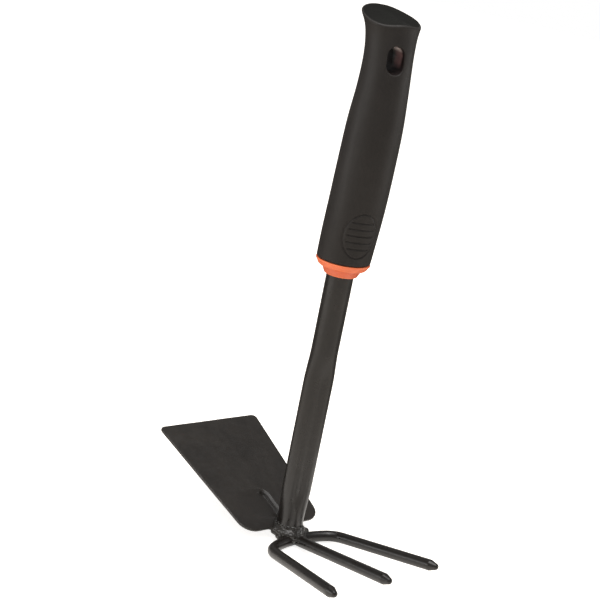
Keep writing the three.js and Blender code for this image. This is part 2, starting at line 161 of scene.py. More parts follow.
# How far below the collar's top its lip begins and is full.
COLLAR_LIP_FOOT = 1.1
COLLAR_LIP_FULL = 0.9
CORNER_SHARE = 0.45
BORE_START = 4
BORE_RINGS = 12
FIT_GAP = 0.3
GRIP_LENGTH = 141.5
GRIP_HALF_WIDTH = 16.85
GRIP_BOW = 3.3
GRIP_LEAN = 1.3
GRIP_LEVELS = 4001
TOP_SLOPE = math.tan(math.radians(18.4))
TOP_ROUND = 1.3
TOP_ROUND_ROWS = 8
TOP_DISH = 0.7
# Rings of the top inside its rim: distance in and drop of the first, then distance in and share of the dish.
TOP_FIRST_RING = (0.5, 0.03)
TOP_RINGS = ((1.1, 0.35), (1.8, 0.8), (2.8, 1), (6, 1))
LIP_FROM = 126
LIP_LIFT = 3
LIP_LIFT_AT = 8
LIP_LIFT_SPREAD = 42
LIP_DRAW = 1.5
LIP_SINK = 0.6
LIP_SINK_AT = 130
LIP_SINK_SPREAD = 32
FOOT_ROUND = 1
FOOT_ROUND_ROWS = 6
SLEEVE_WALL = 3
HEIGHT_SHARES = [0, 0.1, 0.25, 0.42, 0.58, 0.72, 0.82, 0.89, 0.95, 1]
WIDTH_SHARES = [0.96, 0.985, 1, 0.995, 0.97, 0.89, 0.85, 0.857, 0.92, 1.06]
BOW_SHARES = [0, 0.3, 0.75, 0.95, 1, 1.05, 0.85, 0.4, -0.2, -0.9]
LEAN_SHARES = [0, 0.1, 0.35, 0.6, 0.85, 1, 1, 1, 0.9, 0.5]
TILT_SHARES = [0, 0, 0, 0, 0, 0.05, 0.25, 0.55, 0.85, 1]
# Heights of the grip's rows above its foot, as from, to and step: the sleeve's outside, then what is inside it.
SLEEVE_ROWS = ((FOOT_ROUND, 3.9, 0.5), (4, 34.5, 0.3), (35, 105, 1.1), (105.6, 138, 0.8), (138, GRIP_LENGTH, 0.4))
INNER_ROWS = ((3, 100, 6), (102, 137, 1.6))
CORE_FIRST_ROW = 0.5
COLUMNS = 192
COLUMN_CROWDING = 0.3
DEPTH_ROUNDS = 25
DEPTH_REACH = 0.999
SLOT_WIDTH = 10
SLOT_HEIGHT = 15.3
SLOT_BELOW_TOP = 21.7
SLOT_ASIDE = 0.2
SLOT_LINING = 1.5
SLOT_ROUND = 0.8
SLOT_ROUND_LOOPS = 6
SLOT_LOOPS = 9
SLOT_BULGE = -0.9
# The part of a skin that is drawn round the slot: half its width in degrees, and its ends.
SLEEVE_WINDOW = 36
INNER_WINDOW = 50
WINDOW_BELOW_SLOT = 4
WINDOW_BELOW_TOP = 6.2
INNER_EDGE = 0.01
# Materials of the sleeve and of the core, by number, and the sleeve's along the slot from the front.
GRIP, SLOT, LINING, TOP = range(4)
COLLAR, RING = range(2)
# The first strips from the front take the lining with its painted reflection and painted highlight.
SLOT_STRIPS = (LINING,) * 7 + (SLOT,) * 6
# Metres from the slot's centre over which its lining's painted reflection and painted highlight come in: upwards, and
# from the middle of the grip forward.
LINING_HEIGHTS = ((-0.0045, -0.001), (0.0045, 0.0065))
LINING_DEPTHS = ((0.002, 0.006), (0.0132, 0.0108))
PAD_HEIGHT = 28
PAD_WIDTH = 21
PAD_ABOVE_FOOT = 19
PAD_LINE = 1
PAD_LINE_EDGE = (0.3, 0.62)
PAD_DEPTH = 0.5
PAD_BARS = 5
PAD_ENDS = 4
PAD_SIDE = 3

# Welds.
WELD_VOXEL = 0.32
WELD_SOFTENING = 7
# Roughness of a bead, as waves per millimetre and height in millimetres.
WELD_WAVES = ((0.45, 0.26), (1.2, 0.1))
LUMP_SHAPE = (1.1, 1, 0.85)
LUMP_TURN = 1.7
LUMP_AXIS = (1, 0.4, 0.2)
# How far and how fast the size of the lumps changes along a row.
ROW_CHANGE, ROW_PACE = 0.14, 2.4
LINE_CHANGE, LINE_PACE = 0.12, 3
# Rows of lumps round the shank's foot: first and last bearing in degrees, reach, height, radius and step.
FRONT_LEFT_ROWS = ((-16, -104, 8.2, 1.3, 2.3, 10), (-24, -94, 10, 0.2, 2.2, 10))
FRONT_LEFT_TOP_ROWS = ((4, -100, 7.7, 4.4, 1.4, 12),)
FRONT_RIGHT_ROWS = ((26, 96, 8.2, 0.7, 2.2, 10), (26, 84, 9.9, -0.5, 1.9, 10), (24, 94, 7.7, 3.4, 1.4, 12))
REAR_ROWS = {"left": ((-112, -174, 8.4, 0.6, 1.7, 14),), "right": ((112, 174, 8.4, 0.6, 1.7, 14),)}
# Single lumps before the shank's foot and on the centre rod: place and radius.
FRONT_LUMPS = [
    ((8.6, 0.4, -0.4), 2.3), ((9.6, 1.2, -1), 2), ((8.4, 1.6, 0.2), 1.7), ((11, 0.9, -1.7), 1.8),
    ((8.3, 2.8, 1.3), 1.5), ((9, 2.4, 0.5), 1.6), ((10, 2, -0.3), 1.6), ((11.2, 1.6, -1), 1.5),
    ((12.6, 1.1, -1.5), 1.4), ((14.2, 0.7, -1.6), 1.2), ((10.4, -0.8, -1.6), 1.8), ((11.6, -1.2, -2.1), 1.5),
]
TANG_WELD_ABOVE = 0.4
TANG_WELD_RADIUS = 2
TANG_WELD_LUMPS = 5
TANG_SIDE_REAR = -1
TANG_SIDE_OUT = 0.6
TANG_SIDE_RADIUS = 1.5
TANG_SIDE_LUMPS = 4
# Lines of lumps in the fork's nooks: both ends as out, aside and up from the bar's middle, count and radius.
FORK_LINES = (
    (
        (-TINE_RADIUS / 4, TINE_RADIUS * 1.25, TINE_RADIUS * 0.8),
        (TINE_RADIUS * 1.1, TINE_RADIUS * 1.25, TINE_RADIUS * 0.3),
        4, 1.5,
    ),
    ((-1, 3.8, 1.7), (2.6, 3.9, 0.8), 6, 2.3),
    ((1.5, 2.6, 2.3), (6.4, 2.7, 1.2), 6, 1.35),
)

COLLAR_TOP = COLLAR_FOOT + RING_HEIGHT + FLANGE_HEIGHT
GRIP_FOOT = COLLAR_TOP + FIT_GAP
GRIP_TOP = GRIP_FOOT + GRIP_LENGTH
SHANK_TOP = GRIP_FOOT + SHANK_IN_GRIP
SLOT_CENTRE = GRIP_TOP - SLOT_BELOW_TOP

tube_low, tube_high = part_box("shank_tube")
SHIFT = np.array([
    (tube_low.x + tube_high.x) / 2,
    (tube_low.y + tube_high.y) / 2,
    tube_high.z - SHANK_TOP * MM,
])
TURN = np.array(Matrix.Rotation(GRIP_TURN, 3, "Z"))


def smooth(low, high, value):
    share = np.clip((np.asarray(value, float) - low) / (high - low), 0, 1)
    return share * share * (3 - 2 * share)


def mix(a, b, share):
    return a + (b - a) * share


# ---- meshes -------------------------------------------------------------------------------------------------------

class Skin:
    """Points and faces of one closed mesh, gathered loop by loop. Each face keeps its material's number."""

    def __init__(self):
        self.points = []
        self.faces = []
        self.marks = []
        self.mark = 0

    def add(self, points):
        start = len(self.points)
        self.points.extend(np.asarray(points, float).reshape(-1, 3).tolist())
        return list(range(start, len(self.points)))

    def face(self, *corners):
        self.faces.append(corners)
        self.marks.append(self.mark)

    def strip(self, low, high):
        for i in range(len(low)):
            j = (i + 1) % len(low)
            self.face(low[i], low[j], high[j], high[i])

    def cap(self, loop, centre):
        middle = self.add([centre])[0]
        for i in range(len(loop)):
            self.face(loop[i], loop[(i + 1) % len(loop)], middle)

    def rings(self, rings):
        loops = [self.add(ring) for ring in rings]
        for low, high in zip(loops, loops[1:]):
            self.strip(low, high)
        return loops


def add_object(name, data):
    made = bpy.data.objects.new(name, data)
    bpy.context.scene.collection.objects.link(made)
    return made


def make_piece(name, skin, materials, node, turned=False, sharp=None):
    points = np.array(skin.points)
    if turned:
        points = points @ TURN.T
    points = np.clip(points * MM + SHIFT, np.array(cad_box[0]), np.array(cad_box[1]))
    mesh = bpy.data.meshes.new(name)
    mesh.from_pydata(points.tolist(), [], skin.faces)
    for material in materials:
        mesh.materials.append(material)
    mesh.polygons.foreach_set("material_index", skin.marks)
    work = bmesh.new()
    work.from_mesh(mesh)
    bmesh.ops.recalc_face_normals(work, faces=work.faces)
    work.to_mesh(mesh)
    work.free()
    finish_piece(name, mesh, node, sharp)


def finish_piece(name, mesh, node, sharp=None):
    mesh.shade_smooth()
    if sharp:
        mesh.set_sharp_from_angle(angle=math.radians(sharp))
    piece = add_object(name, mesh)
    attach(piece, "root")
    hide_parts(node)


def round_profile(points, radius, steps):
    """A polyline of (radius, height) points with its inner corners rounded."""
    points = [np.array(p, float) for p in points]
    out = [points[0]]
    for before, corner, after in zip(points, points[1:], points[2:]):
        toward = before - corner
        away = after - corner
        reach = min(radius, np.linalg.norm(toward) * CORNER_SHARE, np.linalg.norm(away) * CORNER_SHARE)
        start = corner + toward / np.linalg.norm(toward) * reach
        end = corner + away / np.linalg.norm(away) * reach
        for step in range(steps + 1):
            share = step / steps
            out.append(mix(mix(start, corner, share), mix(corner, end, share), share))
    out.append(points[-1])
    return out


# ---- materials ----------------------------------------------------------------------------------------------------

# The middle part of a noise's range that a colour or a roughness is spread over.
PATCHES = (0.35, 0.7)
CLOUDS = (0.3, 0.7)
WHITE = (1, 1, 1)


class Nodes:
    """Short calls for building one node tree. A value is a socket or a plain number, vector or colour."""

    def __init__(self, owner, output):
        owner.use_nodes = True
        self.tree = owner.node_tree
        self.tree.nodes.clear()
        self.output = self.node(output)

    def node(self, kind, **settings):
        made = self.tree.nodes.new(kind)
        for key, value in settings.items():
            setattr(made, key, value)
        return made

    def feed(self, value, target):
        if isinstance(value, bpy.types.NodeSocket):
            self.tree.links.new(value, target)
        else:
            target.default_value = (*value, 1) if target.type == "RGBA" else value

    def math(self, operation, *values):
        made = self.node("ShaderNodeMath", operation=operation)
        for value, target in zip(values, made.inputs):
            self.feed(value, target)
        return made.outputs["Value"]

    def vector(self, operation, *values, output="Value"):
        made = self.node("ShaderNodeVectorMath", operation=operation)
        for value, target in zip(values, made.inputs):
            self.feed(value, target)
        return made.outputs[output]

    def spread(self, source, limits, values, kind="LINEAR"):
        """Goes from one value to another while the source goes between the limits."""
        made = self.node("ShaderNodeMapRange", interpolation_type=kind)
        for key, value in zip(("Value", "From Min", "From Max", "To Min", "To Max"), (source, *limits, *values)):
            self.feed(value, made.inputs[key])
        return made.outputs["Result"]


class Shader(Nodes):
    """The same for a material, with what its surface needs. Scales of noises are per metre."""

    def __init__(self, name):
        self.material = bpy.data.materials.new(name)
        super().__init__(self.material, "ShaderNodeOutputMaterial")
        self.place = self.node("ShaderNodeTexCoord").outputs["Object"]

    def noise(self, scale, detail=2, roughness=0.5, stretch=None):
        made = self.node("ShaderNodeTexNoise")
        source = self.place
        if stretch:
            mapping = self.node("ShaderNodeMapping")
            self.feed(stretch, mapping.inputs["Scale"])
            self.feed(source, mapping.inputs["Vector"])
            source = mapping.outputs["Vector"]
        for key, value in (("Vector", source), ("Scale", scale), ("Detail", detail), ("Roughness", roughness)):
            self.feed(value, made.inputs[key])
        return made.outputs["Fac"]

    def colours(self, share, first, second):
        made = self.node("ShaderNodeMix", data_type="RGBA")
        for value, target in zip((share, first, second), (made.inputs["Factor"], made.inputs[6], made.inputs[7])):
            self.feed(value, target)
        return made.outputs[2]

    def bump(self, height, distance, after=None):
        made = self.node("ShaderNodeBump")
        self.feed(height, made.inputs["Height"])
        self.feed(distance, made.inputs["Distance"])
        if after:
            self.feed(after, made.inputs["Normal"])
        return made.outputs["Normal"]

    def principled(self, colour, roughness, normal, gloss):
        made = self.node("ShaderNodeBsdfPrincipled")
        for key, value in (
            ("Base Color", colour), ("Roughness", roughness), ("Normal", normal), ("Specular IOR Level", gloss),
        ):
            self.feed(value, made.inputs[key])
        self.feed(made.outputs["BSDF"], self.output.inputs["Surface"])
        return self.material


def paint(name, dark, light, roughness, peel, dents):
    """Black paint on steel: orange peel, faint waves, patches of duller paint."""
    s = Shader(name)
    patches = s.noise(55, detail=4, roughness=0.6)
    sheen = s.noise(240, detail=3)
    waves = s.bump(s.noise(130, detail=3, roughness=0.55), dents)
    normal = s.bump(s.noise(1500), peel, waves)
    colour = s.colours(s.spread(patches, PATCHES, (0, 1)), dark, light)
    return s.principled(colour, s.spread(sheen, CLOUDS, roughness), normal, gloss=0.5)


def rubber(name, dark, light, roughness, grain, gloss):
    """Soft black rubber: fine matt grain with faint mould streaks along the grip."""
    s = Shader(name)
    patches = s.noise(38, detail=4, roughness=0.6)
    streaks = s.noise(160, detail=3, stretch=(1, 1, 0.12))
    normal = s.bump(s.noise(3200, roughness=0.6), grain, s.bump(streaks, grain * 2))
    colour = s.colours(s.spread(patches, PATCHES, (0, 1)), dark, light)
    return s.principled(colour, s.spread(streaks, CLOUDS, roughness), normal, gloss)


def lining_with_painted_reflection(name, dark, light, pale, roughness, grain, gloss, centre, ahead):
    """The slot's inner wall, near black below and deeper in: a reddish painted reflection above, and a pale painted
    highlight at its very top.
    """
    s = Shader(name)
    place = s.vector("SUBTRACT", s.place, centre, output="Vector")

    def along(axis, steps):
        way = s.vector("DOT_PRODUCT", place, axis)
        return [s.spread(way, limits, (0, 1)) for limits in steps]

    upper, top = along((0, 0, 1), LINING_HEIGHTS)
    deep, shallow = along(ahead, LINING_DEPTHS)
    inside = s.math("MULTIPLY", deep, shallow)
    # Painted reflection: a lighter reddish band in the upper part of the wall, part way in.
    colour = s.colours(s.math("MULTIPLY", upper, inside), dark, light)
    # Painted highlight: the very top of that band turns pale.
    colour = s.colours(s.math("MULTIPLY", top, inside), colour, pale)
    normal = s.bump(s.noise(700, detail=3), grain)
    return s.principled(colour, s.spread(upper, (0, 1), roughness), normal, gloss)


def plastic(name, dark, light, roughness, grain):
    """Smooth orange plastic with faint flow marks round the collar."""
    s = Shader(name)
    flow = s.noise(90, detail=3, stretch=(1, 1, 3))
    colour = s.colours(s.spread(flow, CLOUDS, (0, 1)), dark, light)
    return s.principled(colour, s.spread(flow, CLOUDS, roughness), s.bump(s.noise(900), grain), gloss=0.5)


steel_paint = paint(
    "steel_paint", dark=(0.0065, 0.005, 0.004), light=(0.0102, 0.008, 0.0065), roughness=(0.26, 0.4),
    peel=0.006 * MM, dents=0.04 * MM,
)
blade_paint = paint(
    "blade_paint", dark=(0.0115, 0.009, 0.0069), light=(0.0195, 0.0156, 0.0122), roughness=(0.32, 0.46),
    peel=0.006 * MM, dents=0.12 * MM,
)
weld_paint = paint(
    "weld_paint", dark=(0.011, 0.0094, 0.0078), light=(0.024, 0.021, 0.0175), roughness=(0.26, 0.42),
    peel=0.015 * MM, dents=0.08 * MM,
)
grip_rubber = rubber(
    "grip_rubber", dark=(0.017, 0.0145, 0.013), light=(0.0225, 0.0195, 0.0176), roughness=(0.46, 0.58),
    grain=0.005 * MM, gloss=0.25,
)
# A darker copy of the grip's rubber for the top face: painted shade.
top_rubber_painted_shade = rubber(
    "top_rubber_painted_shade", dark=(0.009, 0.0088, 0.0078), light=(0.0125, 0.0122, 0.0108), roughness=(0.6, 0.7),
    grain=0.005 * MM, gloss=0.06,
)
slot_rubber = rubber(
    "slot_rubber", dark=(0.013, 0.007, 0.0068), light=(0.02, 0.0105, 0.01), roughness=(0.5, 0.6),
    grain=0.005 * MM, gloss=0.12,
)
# The lining's light colour is a painted reflection, and its pale colour a painted highlight.
slot_lining = lining_with_painted_reflection(
    "slot_lining", dark=(0.011, 0.0065, 0.006), light=(0.25, 0.145, 0.145), pale=(0.9, 0.8, 0.78),
    roughness=(0.6, 0.3), grain=0.01 * MM, gloss=0.3,
    centre=TURN @ np.array([0, SLOT_ASIDE, SLOT_CENTRE]) * MM + SHIFT, ahead=TURN[:, 0],
)
# A deeper copy of the collar's orange for the ring: painted shade.
ring_plastic_painted_shade = plastic(
    "ring_plastic_painted_shade", dark=(0.66, 0.115, 0.036), light=(0.74, 0.14, 0.05), roughness=(0.3, 0.42), grain=0.004 * MM
)
orange_plastic = plastic(
    "orange_plastic", dark=(0.82, 0.165, 0.055), light=(0.88, 0.2, 0.075), roughness=(0.3, 0.42), grain=0.004 * MM
)


# ---- shank --------------------------------------------------------------------------------------------------------

def pressed_share(height):
    below = 1 - smooth(PRESS_TOP - PRESS_RAMP_TOP, PRESS_TOP, height)
    return below * smooth(PRESS_FOOT, PRESS_FOOT + PRESS_RAMP_FOOT, height)


def shank_radius(angle, height, offset):
    share = pressed_share(height)
    depth = mix(SHANK_RADIUS, PRESSED_HALF_DEPTH, share) + offset
    width = mix(SHANK_RADIUS, PRESSED_HALF_WIDTH, share) + offset
    from_groove = np.arcsin(np.abs(np.sin(angle)))
    groove = share * GROOVE_DEPTH * np.exp(-((from_groove / GROOVE_HALF_ANGLE) ** 2))
    return depth * width / np.hypot(width * np.cos(angle), depth * np.sin(angle)) - groove


def blade_top_at(ahead):
    half_rise = BLADE_THICKNESS / 2 / math.cos(BLADE_RISE)
    return -BLADE_NECK_BELOW + half_rise - (ahead + BLADE_NECK_BEHIND) * math.tan(BLADE_RISE)


def build_shank():
    foot = blade_top_at(-SHANK_RADIUS) + FIT_GAP
    angles = np.linspace(0, 2 * math.pi, SHANK_SIDES, endpoint=False)
    levels = np.concatenate([
        np.linspace(foot, PRESS_TOP, PRESSED_RINGS),
        np.linspace(PRESS_TOP + ROUND_PART_ABOVE, SHANK_TOP, ROUND_RINGS),
    ])
    skin = Skin()

    def ring(offset, level):
        radius = shank_radius(angles, level, offset)
        return np.stack([radius * np.cos(angles), radius * np.sin(angles), np.full(len(angles), level)], 1)

    outer = skin.rings([ring(0, level) for level in levels])
    inner = skin.rings([ring(-SHANK_WALL, level) for level in levels])
    skin.strip(outer[0], inner[0])
    skin.strip(outer[-1], inner[-1])
    make_piece("shank_tube_painted", skin, [steel_paint], "shank_tube", turned=True, sharp=50)


build_shank()


# ---- fork ---------------------------------------------------------------------------------------------------------

FORK_OUT = np.array([math.cos(FORK_RISE), 0, math.sin(FORK_RISE)])
FORK_ACROSS = np.array([0.0, 1, 0])
FORK_UP = np.array([-math.sin(FORK_RISE), 0, math.cos(FORK_RISE)])
FORK_ORIGIN = np.array([BAR_AHEAD, 0, -BAR_BELOW])


def fork_point(out, across):
    return FORK_ORIGIN + FORK_OUT * out + FORK_ACROSS * across


def rod(path, plane_normal, node):
    """A round rod along a path in one plane, from a plain end to a tapered, rounded tip."""
    path = np.array(path)
    steps = np.linalg.norm(np.diff(path, axis=0), axis=1)
    along = np.concatenate([[0], np.cumsum(steps)])
    total = along[-1]
    body = np.linspace(0, total - TIP_LENGTH, int((total - TIP_LENGTH) / ROD_STEP))
    tip = total - TIP_LENGTH * (1 - np.array(TIP_RINGS))
    places = np.concatenate([body, tip])
    centres = np.stack([np.interp(places, along, path[:, k]) for k in range(3)], 1)
    ahead = np.gradient(centres, axis=0)
    ahead /= np.linalg.norm(ahead, axis=1)[:, None]
    side = np.cross(plane_normal, ahead)
    left = np.clip((total - places) / TIP_LENGTH, 0, 1)
    cone = mix(TINE_RADIUS, TIP_RADIUS, 1 - left)
    end = np.sqrt(np.clip(1 - np.clip(1 - left / TIP_END, 0, 1) ** 2, 0, 1))
    angles = np.linspace(0, 2 * math.pi, ROD_SIDES, endpoint=False)
    skin = Skin()
    rings = []
    for centre, across, size in zip(centres[:-1], side, cone * end):
        offsets = np.outer(np.cos(angles), across) + np.outer(np.sin(angles), plane_normal)
        rings.append(centre + offsets * size)
    loops = skin.rings(rings)
    skin.cap(loops[0], centres[0])
    skin.cap(loops[-1], centres[-1])
    make_piece(node + "_painted", skin, [steel_paint], node, sharp=60)


def outer_path(side):
    """The bar's bowed half, its corner and the splayed tine of one outer rod."""
    bow = 2 * math.atan(BOW_RISE / BAR_HALF_LENGTH)
    bow_radius = BAR_HALF_LENGTH / math.sin(bow)
    points = []
    for a in np.linspace(0, bow, BOW_POINTS):
        points.append(fork_point(bow_radius * (1 - math.cos(a)), side * bow_radius * math.sin(a)))
    corner_out = bow_radius * (1 - math.cos(bow)) + CORNER_RADIUS * math.cos(bow)
    corner_across = bow_radius * math.sin(bow) - CORNER_RADIUS * math.sin(bow)
    straight = math.pi / 2 - SPLAY
    for a in np.linspace(bow, straight, CORNER_POINTS)[1:]:
        across = corner_across + CORNER_RADIUS * math.sin(a)
        points.append(fork_point(corner_out - CORNER_RADIUS * math.cos(a), side * across))
    leg_out = corner_out - CORNER_RADIUS * math.cos(straight)
    leg_across = corner_across + CORNER_RADIUS * math.sin(straight)
    points.append(fork_point(OUTER_REACH, side * (leg_across + (OUTER_REACH - leg_out) * math.tan(SPLAY))))
    return points


def centre_path():
    """The leg inside the shank's foot, the bend and the straight centre tine."""
    bend_x = LEG_AHEAD + BEND_RADIUS * math.cos(LEG_LEAN)
    line_x = bend_x + BEND_RADIUS * math.sin(FORK_RISE)
    line_z = -BAR_BELOW + (line_x - BAR_AHEAD) * math.tan(FORK_RISE)
    bend_z = line_z + BEND_RADIUS * math.cos(FORK_RISE)
    leg_foot = bend_z - BEND_RADIUS * math.sin(LEG_LEAN)
    points = [np.array([LEG_AHEAD - (LEG_TOP - leg_foot) * math.tan(LEG_LEAN), 0, LEG_TOP])]
    for a in np.linspace(math.pi + LEG_LEAN, 1.5 * math.pi + FORK_RISE, BEND_POINTS):
        points.append(np.array([bend_x + BEND_RADIUS * math.cos(a), 0, bend_z + BEND_RADIUS * math.sin(a)]))
    points.append(fork_point(CENTRE_REACH, 0))
    return points


rod(centre_path(), FORK_ACROSS, "centre_tine")
rod(outer_path(-1), FORK_UP, "outer_tine_left")
rod(outer_path(1), FORK_UP, "outer_tine_right")


# ---- blade --------------------------------------------------------------------------------------------------------

BLADE_OUT = np.array([-math.cos(BLADE_RISE), 0, math.sin(BLADE_RISE)])
BLADE_ACROSS = np.array([0.0, -1, 0])
BLADE_UP = np.array([math.sin(BLADE_RISE), 0, math.cos(BLADE_RISE)])
BLADE_ORIGIN = np.array([-BLADE_NECK_BEHIND, 0, -BLADE_NECK_BELOW])
TANG_FRONT = BAR_AHEAD - TINE_RADIUS - FIT_GAP
TANG_LENGTH = (TANG_FRONT + BLADE_NECK_BEHIND) / math.cos(BLADE_RISE)


def rounded_outline(corners, step):
    """Points every step along a closed outline whose corners (x, y, radius) are rounded."""
    count = len(corners)
    points = []
    for i, (x, y, radius) in enumerate(corners):
        corner = np.array([x, y], float)
        before = np.array(corners[i - 1][:2], float)
        after = np.array(corners[(i + 1) % count][:2], float)
        toward = (before - corner) / np.linalg.norm(before - corner)
        away = (after - corner) / np.linalg.norm(after - corner)
        half = math.acos(float(np.clip(toward @ away, -1, 1))) / 2
        middle = corner + (toward + away) / np.linalg.norm(toward + away) * radius / math.sin(half)
        start = corner + toward * radius / math.tan(half)
        end = corner + away * radius / math.tan(half)
        first = math.atan2(*(start - middle)[::-1])
        turn = math.atan2(*(end - middle)[::-1]) - first
        turn = (turn + math.pi) % (2 * math.pi) - math.pi
        for share in np.linspace(0, 1, OUTLINE_ARC_POINTS):
            angle = first + turn * share
            points.append(middle + radius * np.array([math.cos(angle), math.sin(angle)]))
    points = np.array(points + [points[0]])
    along = np.concatenate([[0], np.cumsum(np.linalg.norm(np.diff(points, axis=0), axis=1))])
    places = np.linspace(0, along[-1], int(along[-1] / step), endpoint=False)
    return np.stack([np.interp(places, along, points[:, k]) for k in range(2)], 1)


def stadium(directions, radius, straight):
    """Points and outward normals of an upright stadium's outline, in the directions asked for from its centre."""
    turn = np.linspace(0, 2 * math.pi, STADIUM_ROUND_POINTS, endpoint=False)
    normals = np.stack([np.cos(turn), np.sin(turn)], 1)
    points = normals * radius
    points[:, 1] += np.where(normals[:, 1] > 0, straight, -straight)
    sides = np.linspace(-straight, straight, STADIUM_SIDE_POINTS)
    right = np.stack([np.full(len(sides), radius), sides], 1)
    points = np.concatenate([points, right, right * (-1, 1)])
    normals = np.concatenate([normals, np.tile((1, 0), (len(sides), 1)), np.tile((-1, 0), (len(sides), 1))])
    bearing = np.arctan2(points[:, 1], points[:, 0])
    order = np.argsort(bearing)

    def at(table):
        columns = [np.interp(directions, bearing[order], table[order, k], period=2 * math.pi) for k in range(2)]
        return np.stack(columns, 1)

    return at(points), at(normals)


def build_blade():
    neck, end, tang = BLADE_NECK_WIDTH / 2, BLADE_END_WIDTH / 2, TANG_WIDTH / 2
    corners = [
        (-TANG_LENGTH, -tang, TANG_END_RADIUS),
        (0, -tang, TANG_RADIUS),
        (0, -neck, BLADE_NECK_RADIUS),
        (BLADE_LENGTH, -end, BLADE_END_RADIUS),
        (BLADE_LENGTH, end, BLADE_END_RADIUS),
        (0, neck, BLADE_NECK_RADIUS),
        (0, tang, TANG_RADIUS),
        (-TANG_LENGTH, tang, TANG_END_RADIUS),
    ]
    outline = rounded_outline(corners, OUTLINE_STEP)
    ahead = np.roll(outline, -1, 0) - np.roll(outline, 1, 0)
    inward = np.stack([-ahead[:, 1], ahead[:, 0]], 1) / np.linalg.norm(ahead, axis=1)[:, None]
    centre = np.array([DIMPLE_FROM_NECK, DIMPLE_ASIDE])

    def stretch(across):
        return np.where(across > 0, DIMPLE_LEFT_STRETCH, 1)

    toward = outline - centre
    bearings = np.arctan2(-toward[:, 0], toward[:, 1] / stretch(toward[:, 1]))

    def dimple_loop(radius):
        points, _ = stadium(bearings, radius, DIMPLE_HALF_STRAIGHT)
        return centre + np.stack([-points[:, 1], points[:, 0] * stretch(points[:, 0])], 1)

    def dent(flat):
        along = np.maximum(np.abs(flat[:, 0] - centre[0]) - DIMPLE_HALF_STRAIGHT, 0)
        across = flat[:, 1] - centre[1]
        away = np.hypot(along, across / stretch(across))
        radii, depths = np.array(DIMPLE_PROFILE[::-1]).T
        steep = np.interp(away, radii, depths)
        soft = depths.max() * (1 - smooth(DIMPLE_SOFT_FLAT, DIMPLE_SOFT_RADIUS, away))
        press = mix(steep, soft * smooth(*DIMPLE_SOFT_START, flat[:, 0]), smooth(*DIMPLE_SOFT_ACROSS, across))
        press *= 1 - np.clip((across - DIMPLE_FADE_FROM) / DIMPLE_FADE, 0, 1)
        places = [Vector((out / BLADE_WAVE_LENGTH, side / BLADE_WAVE_LENGTH, BLADE_WAVE_LEVEL)) for out, side in flat]
        return press + np.array([BLADE_WAVE * noise.noise(place) for place in places])

    def placed(flat, height):
        height = height - dent(flat)
        return (
            BLADE_ORIGIN + np.outer(flat[:, 0], BLADE_OUT) + np.outer(flat[:, 1], BLADE_ACROSS)
            + np.outer(height, BLADE_UP)
        )

    skin = Skin()
    half = BLADE_THICKNESS / 2
    flats = []
    for angle in np.linspace(0, math.pi / 2, BLADE_EDGE_LOOPS):
        drawn = BLADE_EDGE * (1 - math.cos(angle))
        flats.append((outline + inward * drawn, half - BLADE_EDGE * (1 - math.sin(angle))))
    inset = flats[-1][0]
    widest = dimple_loop(DIMPLE_LOOPS[0])
    for share in np.linspace(0, 1, BLADE_LOOPS)[1:-1] ** BLADE_LOOP_CROWDING:
        flats.append((mix(inset, widest, share), half))
    flats += [(dimple_loop(radius), half) for radius in DIMPLE_LOOPS]
    count = len(outline)
    top = skin.rings([placed(flat, np.full(count, height)) for flat, height in flats])
    low = skin.rings([placed(flat, np.full(count, -height)) for flat, height in flats])
    skin.strip(top[0], low[0])
    middle = centre[None, :]
    skin.cap(top[-1], placed(middle, np.array([half]))[0])
    skin.cap(low[-1], placed(middle, np.array([-half]))[0])
    make_piece("hoe_blade_painted", skin, [blade_paint], "hoe_blade", sharp=60)


build_blade()


# ---- grip ---------------------------------------------------------------------------------------------------------

def spline(shares, level):
    """The uniform Catmull-Rom curve through evenly spaced shares."""
    shares = np.asarray(shares, float)
    last = len(shares) - 1
    place = np.clip(level, 0, 1) * last
    i = np.minimum(np.floor(place).astype(int), last)
    w = place - i
    p0 = shares[np.maximum(i - 1, 0)]
    p1 = shares[i]
    p2 = shares[np.minimum(i + 1, last)]
    p3 = shares[np.minimum(i + 2, last)]
    v0 = (p2 - p0) / 2
    v1 = (p3 - p1) / 2
    return (2 * p1 - 2 * p2 + v0 + v1) * w**3 + (-3 * p1 + 3 * p2 - 2 * v0 - v1) * w**2 + v0 * w + p1


LEVELS = np.linspace(0, 1, GRIP_LEVELS)
HEIGHTS = spline(HEIGHT_SHARES, LEVELS) * GRIP_LENGTH
RADII = spline(WIDTH_SHARES, LEVELS) * GRIP_HALF_WIDTH
BOWS = spline(BOW_SHARES, LEVELS) * GRIP_BOW
LEANS = spline(LEAN_SHARES, LEVELS) * GRIP_LEAN
TILTS = spline(TILT_SHARES, LEVELS) * TOP_SLOPE

# Bearings of the grip's columns, a little crowded in front and behind, and the way out at each.
EVEN = np.linspace(0, 2 * math.pi, COLUMNS, endpoint=False)
ANGLES = EVEN - COLUMN_CROWDING * np.sin(2 * EVEN)
OUTWARD = np.stack([np.cos(ANGLES), np.sin(ANGLES), 0 * ANGLES], 1)


def at_height(table, height):
    return np.interp(height, HEIGHTS, table)


def hump(angles, centre, spread):
    away = (np.degrees(angles) - centre + 180) % 360 - 180
    return np.exp(-((away / spread) ** 2))


def lip(height, angles):
    """How far the pommel's rim is lifted and drawn in: it is level in front and sinks at the right behind."""
    share = smooth(LIP_FROM, GRIP_LENGTH, height)
    front = hump(angles, LIP_LIFT_AT, LIP_LIFT_SPREAD) * share
    behind = hump(angles, LIP_SINK_AT, LIP_SINK_SPREAD) * share
    return LIP_LIFT * front - LIP_SINK * behind, LIP_DRAW * front


